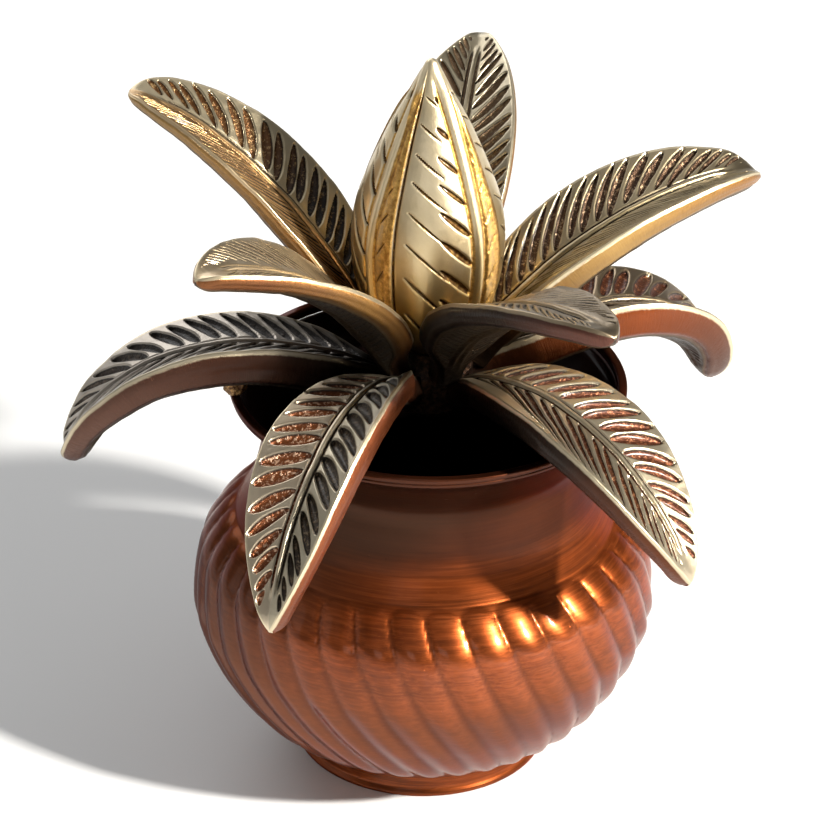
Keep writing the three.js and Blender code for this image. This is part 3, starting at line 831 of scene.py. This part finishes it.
def leafSurface(name, finish):
    fixed = {"Coat Weight": 0.25, "Coat Roughness": 0.2, "Coat IOR": 1.45}
    material, tree, shader, place = newSurface(name, fixed)
    marks = ("worked", "wallMark", "edgeMark", "underMark", "alongLeaf")
    worked, wall, paintedRimLine, under, share = (attribute(tree, mark) for mark in marks)
    blade = attribute(tree, "acrossLeaf").smooth(-0.05, 0.05)
    grain = noise(place, leafTexture["grain"], 4.0, 0.65)
    speck = noise(place, leafTexture["speck"], 3.0, 0.6)
    cloud = noise(place, leafTexture["cloud"], 4.0, 0.6)
    # File marks along the walls and scratches along the face, both in the leaf's own millimetres
    run, across, lift = separated(attribute(tree, "leafPlace", 1))
    files = noise(combined(run * 3.5, across * 0.4, lift * 0.25), 1.0, 3.0, 0.7)
    scratch = noise(combined(run * 0.7, across * 5.0, lift * 0.5), 1.0, 3.0, 0.7)
    face = perBlade(blade, finish["face"])
    face = blend((0.62 - cloud).clamped() * 1.1, face, finish["stain"])
    # Near the root the recesses take the deep colour, painted shade, and further out their own colour
    tone = (share + (cloud - 0.5) * 0.3).smooth(finish["paintedRecessShadeTo"] - 0.2, finish["paintedRecessShadeTo"] + 0.15)
    recess = blend(tone, finish["deep"], perBlade(blade, finish["recess"]))
    glint = (grain + speck * 0.6 - 0.3).smooth(0.52, 0.66) * (tone * 0.7 + 0.2)
    recess = blend(glint, recess, perBlade(blade, finish["glint"]))
    edge = (worked + (grain - 0.5) * 0.35).smooth(0.3, 0.62)
    # Painted shade along the steep walls of the pockets
    paintedPocketShade = 1 - (worked + (grain - 0.5) * 0.3).smooth(0.7, 1.0)
    recess = blend(paintedPocketShade * 0.8, recess, finish["deep"])
    colour = blend(edge, face, recess)
    side = node(tree, "ShaderNodeValToRGB", {"stops": finish["wall"]}, {0: share + (cloud - 0.5) * 0.16})
    side = blend((files * 1.5 - 0.5).clamped() * 0.5, side, finish["wallMark"])
    colour = blend(wall, colour, side)
    # A painted highlight along the rim line, in the edge colour and as strong as rim
    paintedRimShare = (paintedRimLine + (grain - 0.5) * 0.5).smooth(0.3, 0.8) * finish["rim"]
    colour = blend(paintedRimShare, colour, finish["edge"])
    # The underside takes the under colour, the metal's own colour darkened as painted shade, and more of the
    # deep colour, painted shade, in its lines
    below = blend((worked * 0.8 + cloud * 0.4).clamped(), finish["under"], finish["deep"])
    colour = blend(under, colour, below)
    # Painted shade near the root, where the leaves meet under the bud
    rootPaintedShade = 1 - share.smooth(0.02, finish["paintedRootShadeTo"])
    colour = blend(rootPaintedShade * 0.9, colour, finish["deep"])
    connect(1 - edge * 0.3, shader.inputs["Metallic"])
    roughness = 0.29 + grain * 0.14 - edge * 0.04 + wall * files * 0.12 + under * 0.14
    height = grain * (0.25 + edge * 2.6) + speck * edge * 1.3 + files * wall * 1.1 + cloud * 0.8
    setSurface(shader, colour, roughness, height + scratch * (1 - wall) * 0.25, leafTexture["bump"])
    return material


def perBlade(blade, colours):
    return blend(blade, *colours) if isinstance(colours[0], tuple) else colours


# The colours of a face, a recess and a glint are one for the leaf or a pair for its two blades; a pair is
# partly the metal's own colour and partly painted light and shade on each blade. Those of a wall are stops
# along the leaf, also partly painted light and shade, and the shares for the recess and root shade are shares
# of its length, up to which recesses and the root take painted shade. The deep colour is that painted shade,
# the under colour is darkened as painted shade, and the edge colour is a painted highlight along the rim, as
# strong as rim

brassFinish = {
    "face": ((0.56, 0.47, 0.31), (0.60, 0.46, 0.26)), "stain": (0.30, 0.23, 0.13),
    "recess": (0.13, 0.062, 0.022), "glint": (0.55, 0.36, 0.16),
    "deep": (0.014, 0.010, 0.007), "under": (0.08, 0.05, 0.028), "edge": (0.80, 0.68, 0.46), "rim": 0.5,
    "wall": [(0.1, (0.16, 0.06, 0.02)), (0.45, (0.36, 0.18, 0.055)), (0.9, (0.42, 0.26, 0.10))],
    "wallMark": (0.22, 0.11, 0.04), "paintedRecessShadeTo": 0.4, "paintedRootShadeTo": 0.2,
}
# Its walls are nearly black for most of their length, painted shade on the sides away from the light
copperyFinish = dict(
    brassFinish, face=(0.62, 0.53, 0.37), stain=(0.34, 0.26, 0.17), paintedRecessShadeTo=0.2, paintedRootShadeTo=0.13,
    recess=((0.13, 0.042, 0.014), (0.10, 0.028, 0.010)), glint=((0.52, 0.25, 0.12), (0.42, 0.17, 0.075)),
    wall=[(0.1, (0.018, 0.011, 0.008)), (0.55, (0.022, 0.014, 0.010)), (0.95, (0.16, 0.045, 0.016))],
    wallMark=(0.05, 0.03, 0.02))
upperFinishes = [
    dict(brassFinish, face=((0.56, 0.47, 0.31), (0.60, 0.37, 0.16)), paintedRecessShadeTo=0.6,
         recess=((0.17, 0.075, 0.024), (0.24, 0.11, 0.035))),
    dict(brassFinish, face=((0.32, 0.25, 0.14), (0.36, 0.29, 0.18)), paintedRecessShadeTo=0.12, rim=0.9,
         recess=((0.035, 0.026, 0.016), (0.085, 0.042, 0.02)), glint=((0.10, 0.08, 0.05), (0.56, 0.38, 0.22)),
         wall=[(0.1, (0.13, 0.05, 0.014)), (0.5, (0.44, 0.27, 0.09)), (0.9, (0.34, 0.16, 0.045))]),
    dict(brassFinish, face=(0.42, 0.36, 0.25), recess=(0.21, 0.13, 0.07), glint=(0.38, 0.28, 0.16),
         paintedRecessShadeTo=0.3),
    dict(brassFinish, face=(0.66, 0.51, 0.32), recess=(0.12, 0.06, 0.022), glint=(0.7, 0.5, 0.26),
         paintedRecessShadeTo=0.25, rim=0.7,
         wall=[(0.1, (0.18, 0.065, 0.02)), (0.5, (0.38, 0.20, 0.06)), (0.85, (0.22, 0.08, 0.028))]),
    dict(brassFinish, face=((0.27, 0.21, 0.135), (0.24, 0.185, 0.12)), recess=(0.014, 0.011, 0.008),
         glint=(0.12, 0.09, 0.06), paintedRecessShadeTo=0.2, edge=(0.36, 0.28, 0.18), rim=0.8,
         wallMark=(0.05, 0.033, 0.024),
         wall=[(0.1, (0.014, 0.010, 0.008)), (0.7, (0.022, 0.015, 0.012)), (0.95, (0.13, 0.05, 0.035))]),
]
lowerFinishes = [
    dict(copperyFinish, face=((0.38, 0.335, 0.28), (0.34, 0.30, 0.25)), stain=(0.19, 0.155, 0.12),
         paintedRecessShadeTo=0.75, paintedRootShadeTo=0.42, recess=(0.05, 0.034, 0.024), glint=(0.14, 0.10, 0.07),
         wall=[(0.1, (0.02, 0.012, 0.009)), (0.5, (0.06, 0.022, 0.012)), (0.95, (0.14, 0.07, 0.05))]),
    dict(copperyFinish, face=((0.74, 0.62, 0.45), (0.50, 0.44, 0.32)), rim=0.7, wallMark=(0.22, 0.08, 0.04),
         recess=((0.19, 0.056, 0.016), (0.04, 0.026, 0.014)), glint=((0.85, 0.55, 0.36), (0.20, 0.14, 0.08)),
         wall=[(0.1, (0.20, 0.06, 0.024)), (0.5, (0.28, 0.075, 0.024)), (0.95, (0.22, 0.062, 0.022))]),
    copperyFinish,
    dict(copperyFinish, face=((0.36, 0.28, 0.17), (0.34, 0.26, 0.16)), stain=(0.26, 0.12, 0.06), rim=0.8,
         wall=[(0.1, (0.10, 0.03, 0.01)), (0.5, (0.24, 0.055, 0.012)), (0.9, (0.10, 0.045, 0.028))],
         wallMark=(0.18, 0.05, 0.02)),
    copperyFinish,
]


def buildTier(tier, leaves, finishes, metal, slot, seed):
    root = leafForm[f"{tier}Root"]
    for index, (leaf, finish) in enumerate(zip(leaves, finishes)):
        number = index + 1
        material = leafSurface(f"{metal}{number}", finish)
        shape = dict(usualLeaf, **leaf)
        buildLeaf(f"{tier}Leaf{number}", f"{tier}_leaf_{number}", shape, root, material, slot, seed + index)


buildTier("upper", upperLeaves, upperFinishes, "leafBrass", "leaf_brass", 100)
buildTier("lower", lowerLeaves, lowerFinishes, "leafCopper", "leaf_copper", 200)
print("leaves made")


# Bud: four folded leaves, each over the edge of the next. Pockets stand beside the rib on the wide blade,
# cuts come in from that blade's far edge, and slips run from the rib to the golden edge of the narrow one

bud = {
    "radius": 19.8, "bottom": 117.8, "waist": 29, "height": 79.9, "offset": -0.8, "footRadius": 6,
    "tipRadius": 1, "sides": 432, "rows": 300, "leaves": 4, "firstRib": 311.5, "edge": 21.5, "edgeStep": 0.9,
    "sink": 0.35, "ribHalf": 1.15, "ribLift": 0.45, "grooveAt": 1.9, "grooveHalf": 0.6, "grooveDepth": 0.65,
    "lipAt": 1.3, "lipHalf": 0.9, "lipLift": 0.2, "seamHalf": 0.5, "seamDepth": 0.6, "tipFade": (70.4, 73.9),
    "pocket": {"first": 5.3, "pitch": 7.87, "half": 1.2, "depth": 1.0, "start": 2.1, "reach": 0.47, "seed": 77},
    "cut": {"first": 0.8, "pitch": 9.43, "half": 0.58, "depth": 0.65, "start": 0.87, "length": 0.5, "seed": 78},
    "slip": {"first": 5.3, "pitch": 7.87, "half": 0.7, "depth": 0.5, "start": 2.6, "stop": 2.0, "seed": 79},
    "veinSlope": 0.9, "slipSlope": 1.6,
}
budLowerShape = [(0.5, 0.22), (0.87, 0.58)]
budUpperShape = [(0.042, 0.2), (0.19, 0.38), (0.474, 0.63), (0.758, 0.83)]


def budRelief(azimuth, radius, height):
    # Outward lift, how worked each point is, and how golden, partly as the metal's own gold and partly as
    # painted sunlight.
    # Azimuth in degrees, the rest in millimetres
    pitch = 360 / bud["leaves"]
    fromEdge = azimuth - bud["firstRib"] + pitch - bud["edge"]
    leafIndex = np.floor(fromEdge / pitch).astype(int) % bud["leaves"]
    fromRib = fromEdge % pitch - (pitch - bud["edge"])
    rise = height - bud["bottom"]
    across = np.radians(fromRib) * np.maximum(radius, 3)
    fade = smoothstep(radius, 1.5, 7)
    rib = dome(across / bud["ribHalf"])
    groove = peak(np.abs(across) - bud["grooveAt"], bud["grooveHalf"])
    toEdge = np.radians(bud["edge"] - fromRib) * radius
    overlap = smoothstep(fromRib, -15, bud["edge"]) * bud["edgeStep"]
    lip = peak(toEdge - bud["lipAt"], bud["lipHalf"])
    seam = peak(np.radians(fromRib + pitch - bud["edge"]) * radius, bud["seamHalf"])
    reach = -across
    spread = np.radians(pitch - bud["edge"]) * radius
    origin = rise - bud["veinSlope"] * reach
    blade = (reach > 0) * (spread > 3)
    pocket, cut, slip = bud["pocket"], bud["cut"], bud["slip"]
    travel = (reach - pocket["start"]) / np.maximum(spread * pocket["reach"] - pocket["start"], 0.1)
    pockets = budMarks(origin, travel, leafIndex, pocket) * blade
    travel = (spread * cut["start"] - reach) / np.maximum(spread * cut["length"], 0.1)
    cuts = budMarks(origin, travel, leafIndex, cut) * blade
    inner = across - slip["start"]
    travel = inner / np.maximum(toEdge + inner - slip["stop"], 0.1)
    slips = budMarks(rise - bud["slipSlope"] * across, travel, leafIndex, slip) * (across > 0)
    tipFade = 1 - smoothstep(rise, *bud["tipFade"])
    deep = np.maximum(pockets, slips * slip["depth"]) * tipFade
    fine = cuts * tipFade
    lift = rib * bud["ribLift"] - groove * bud["grooveDepth"]
    lift = lift - np.maximum(deep * pocket["depth"], fine * cut["depth"])
    lift = lift + lip * bud["lipLift"] - seam * bud["seamDepth"] + overlap - bud["sink"]
    # The groove and the lip are golden, and from just right of the rib the narrow blade is golden too, painted
    # as sunlit
    golden = np.clip(groove * 1.3 + lip * 0.9 + smoothstep(across, 1.6, 2.6) * 0.6, 0, 1)
    worked = np.clip(np.maximum(np.maximum(deep, fine) * 1.3, seam * 1.2), 0, 1)
    return lift * fade, worked * fade, golden * fade


def budMarks(origin, travel, leafIndex, mark):
    # Lens-shaped marks, one for each pitch of height at the rib, each a little out of place
    chance = np.random.default_rng(mark["seed"])
    count = 20
    which, within = numbered((origin - mark["first"]) / mark["pitch"] + 6.5, count)
    shift, girth = (chance.uniform(-by, by, (bud["leaves"], count))[leafIndex, which] for by in (0.05, 0.18))
    wide = np.maximum(mark["half"] * (1 + girth) * lens(travel), 1e-3)
    return dome((within - shift) * mark["pitch"] / wide) * onMark(travel)


def buildBud():
    start, widest = (bud["footRadius"], bud["bottom"]), (bud["radius"], bud["bottom"] + bud["waist"])
    tip = (bud["tipRadius"], bud["bottom"] + bud["height"])
    points = [start] + through(start, widest, budLowerShape) + through(widest, tip, budUpperShape)
    profile = catmullRom(points, bud["rows"])
    turn = np.linspace(0, 360, bud["sides"], endpoint=False)[None, :]
    radius, height = profile[:, :1] + 0 * turn, profile[:, 1:] + 0 * turn
    lift, worked, golden = budRelief(turn + 0 * height, radius, height)
    # The last millimetre of the tip is round
    nose = np.clip(height - tip[1] + 1, 0, 1)
    reach = (radius + lift) * np.sqrt(np.maximum(1 - nose ** 2, 0.03))
    angle = np.radians(turn)
    rings = np.stack([reach * np.cos(angle) + bud["offset"], reach * np.sin(angle), height], -1)
    data = {"worked": worked, "golden": golden, "upBud": (height - bud["bottom"]) / bud["height"]}
    piece = meshFromRings("centerBud", rings, data)
    finishPiece(piece, budSurface(), "bud_brass", "center_bud")


budFinish = {
    "face": (0.95, 0.82, 0.58), "faceShade": (0.72, 0.58, 0.34), "paintedLowFace": (0.52, 0.34, 0.105),
    "golden": (0.34, 0.165, 0.038), "goldGlint": (0.90, 0.56, 0.16), "deep": (0.04, 0.02, 0.009),
    "recess": (0.055, 0.024, 0.008), "paintedLowShadeTo": (0.15, 0.65), "paintedRootShadeTo": 0.2, "grain": 700.0, "cloud": 60.0,
    "bump": 0.00012,
}


def budSurface():
    fixed = {"Metallic": 1.0, "Coat Weight": 0.3, "Coat Roughness": 0.1, "Coat IOR": 1.5}
    material, tree, shader, place = newSurface("budBrass", fixed)
    worked, golden, upBud = (attribute(tree, mark) for mark in ("worked", "golden", "upBud"))
    grain = noise(place, budFinish["grain"], 4.0, 0.65)
    cloud = noise(place, budFinish["cloud"], 4.0, 0.6)
    face = blend((cloud * 1.6 - 0.35).clamped(), budFinish["faceShade"], budFinish["face"])
    # Painted shade on the lower part of the bud, down among the leaves
    lowPaintedShade = 1 - (upBud + (cloud - 0.5) * 0.2).smooth(*budFinish["paintedLowShadeTo"])
    face = blend(lowPaintedShade, face, budFinish["paintedLowFace"])
    # Gold for the grooves and the lip, and painted sunlight on the narrow blade
    gold = blend((grain * 2.4 - 0.8).clamped(), budFinish["golden"], budFinish["goldGlint"])
    colour = blend((golden + (grain - 0.5) * 0.4).smooth(0.3, 0.75), face, gold)
    recess = blend((grain * 2.0 - 0.8).clamped() * 0.45, budFinish["recess"], gold)
    colour = blend((worked + (grain - 0.5) * 0.4).smooth(0.3, 0.7), colour, recess)
    # Painted shade at the root of the bud
    rootPaintedShade = 1 - upBud.smooth(0.0, budFinish["paintedRootShadeTo"])
    colour = blend(rootPaintedShade * 0.8, colour, budFinish["deep"])
    roughness = 0.33 + grain * 0.14 + worked * 0.1
    height = grain * (0.6 + golden * 1.8 + worked * 1.6) + cloud * 1.2
    setSurface(shader, colour, roughness, height, budFinish["bump"])
    return material


buildBud()
print("bud made")


# Boss under the bud, and the lumps of braze on the rim. Lumps are sizes and heights of its unevenness,
# on a ball four across, and fill is its mean share of the room that it has

tack = {
    "rows": 40, "sides": 64, "poleGap": 0.03, "ball": 4, "fill": 0.88, "lumps": ((3.5, 0.08), (1.2, 0.03)),
    "dark": (0.10, 0.045, 0.02), "bright": (0.55, 0.32, 0.12),
}
# The boss is painted nearly black, as the shade under the bud
bossPaintedShadeColours = {"dark": (0.010, 0.006, 0.004), "bright": (0.06, 0.03, 0.016)}
brazeTexture = {"grain": 900.0, "bump": 0.0004}


def buildSmallParts():
    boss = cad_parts["crown_hub"]
    boss.data.materials.clear()
    boss.data.materials.append(brazeSurface("bossPaintedShade", bossPaintedShadeColours))
    braze = brazeSurface("braze", tack)
    for index in range(len(lowerLeaves)):
        buildTack(index, braze)


def brazeSurface(name, colours):
    fixed = {"Metallic": 0.9, "Coat Weight": 0.2, "Coat Roughness": 0.2}
    material, _, shader, place = newSurface(name, fixed)
    grain = noise(place, brazeTexture["grain"], 5.0, 0.7)
    colour = blend(grain.smooth(0.4, 0.65), colours["dark"], colours["bright"])
    setSurface(shader, colour, 0.3 + grain * 0.25, grain, brazeTexture["bump"])
    return material


def buildTack(index, material):
    low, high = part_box(f"braze_tack_{index + 1}")
    centre = np.array((low + high) / 2) / mm
    half = np.array((high - low) / 2) / mm
    tilt = np.linspace(tack["poleGap"], math.pi - tack["poleGap"], tack["rows"])[:, None]
    turn = np.linspace(0, 2 * math.pi, tack["sides"], endpoint=False)[None, :]
    unit = np.stack([np.sin(tilt) * np.cos(turn), np.sin(tilt) * np.sin(turn), np.cos(tilt) + 0 * turn], -1)
    ball = unit * tack["ball"]
    (coarse, tall), (fine, slight) = tack["lumps"]
    lumpy = tack["fill"] + tall * ripple(ball, coarse, 300 + index) + slight * ripple(ball, fine, 330 + index)
    rings = centre + unit * np.minimum(lumpy, 1)[..., None] * half
    piece = meshFromRings(f"brazeTack{index + 1}", rings)
    finishPiece(piece, material, "braze", f"braze_tack_{index + 1}")


buildSmallParts()
print("boss and braze made")


# Floor, light and world. Levels are greys, a sky height is how far a direction points up, and glowBand
# is in metres

studio = {
    "floorColour": (0.90, 0.90, 0.89), "floorSize": 8000, "glowBand": (0.3, 1.3), "floorGlow": 0.7,
    "lampAim": 90, "horizon": 0.75, "skyMiddle": 0.10, "skyTop": 0.24,
    "skyHeights": ((0.09, "horizon"), (0.2, "skyMiddle"), (0.45, "skyMiddle"), (0.9, "skyTop")),
}
lamps = [
    # name, azimuth, elevation, distance, width, height, watts, colour
    ("key", -29, 31.5, 1500, 90, 90, 48, (1.0, 0.97, 0.92)),
    ("front", -100, 20, 1600, 500, 400, 0.8, (1.0, 0.98, 0.95)),
    ("left", 190, 25, 1500, 900, 700, 1.1, (0.94, 0.97, 1.0)),
    ("back", 118, 33, 1500, 1300, 800, 9, (0.97, 0.98, 1.0)),
    ("top", 60, 78, 1400, 900, 900, 1.3, (1.0, 1.0, 1.0)),
]


def buildFloor():
    half = studio["floorSize"] * mm / 2
    corners = [(-half, -half, 0), (half, -half, 0), (half, half, 0), (-half, half, 0)]
    mesh = bpy.data.meshes.new("floor")
    mesh.from_pydata(corners, [], [(0, 1, 2, 3)])
    floor = addObject("floor", mesh)
    fixed = {"Roughness": 0.9, "Specular IOR Level": 0.0, "Emission Strength": 1.0}
    material, tree, shader, place = newSurface("paleFloor", fixed)
    shader.inputs["Base Color"].default_value = (*studio["floorColour"], 1)
    # Far from the lamps the floor is as pale as the horizon, but only to the camera
    x, y, _ = separated(place)
    toCamera = node(tree, "ShaderNodeLightPath")
    glow = ((x * x + y * y) ** 0.5).smooth(*studio["glowBand"]) * toCamera * studio["floorGlow"]
    connect(glow, shader.inputs["Emission Color"])
    mesh.materials.append(material)


def buildLamps():
    for name, azimuth, elevation, distance, width, height, watts, colour in lamps:
        lamp = bpy.data.lights.new(name, "AREA")
        lamp.shape = "RECTANGLE"
        lamp.size = width * mm
        lamp.size_y = height * mm
        lamp.energy = watts
        lamp.color = colour
        placed = addObject(name, lamp)
        turn, tilt = math.radians(azimuth), math.radians(elevation)
        away = Vector((math.cos(tilt) * math.cos(turn), math.cos(tilt) * math.sin(turn), math.sin(tilt)))
        placed.location = (away * distance + Vector((0, 0, studio["lampAim"]))) * mm
        placed.rotation_euler = away.to_track_quat("Z", "Y").to_euler()


def buildWorld():
    world = bpy.data.worlds.new("studio")
    world.use_nodes = True
    tree = world.node_tree
    height = separated(node(tree, "ShaderNodeTexCoord"))[2]
    stops = [(place, (studio[key],) * 3) for place, key in studio["skyHeights"]]
    colour = node(tree, "ShaderNodeValToRGB", {"stops": stops}, {0: height.clamped()})
    connect(colour, tree.nodes["Background"].inputs["Color"])
    scene.world = world


buildFloor()
buildLamps()
buildWorld()
scene.view_settings.view_transform = "Standard"

print("scene ready")
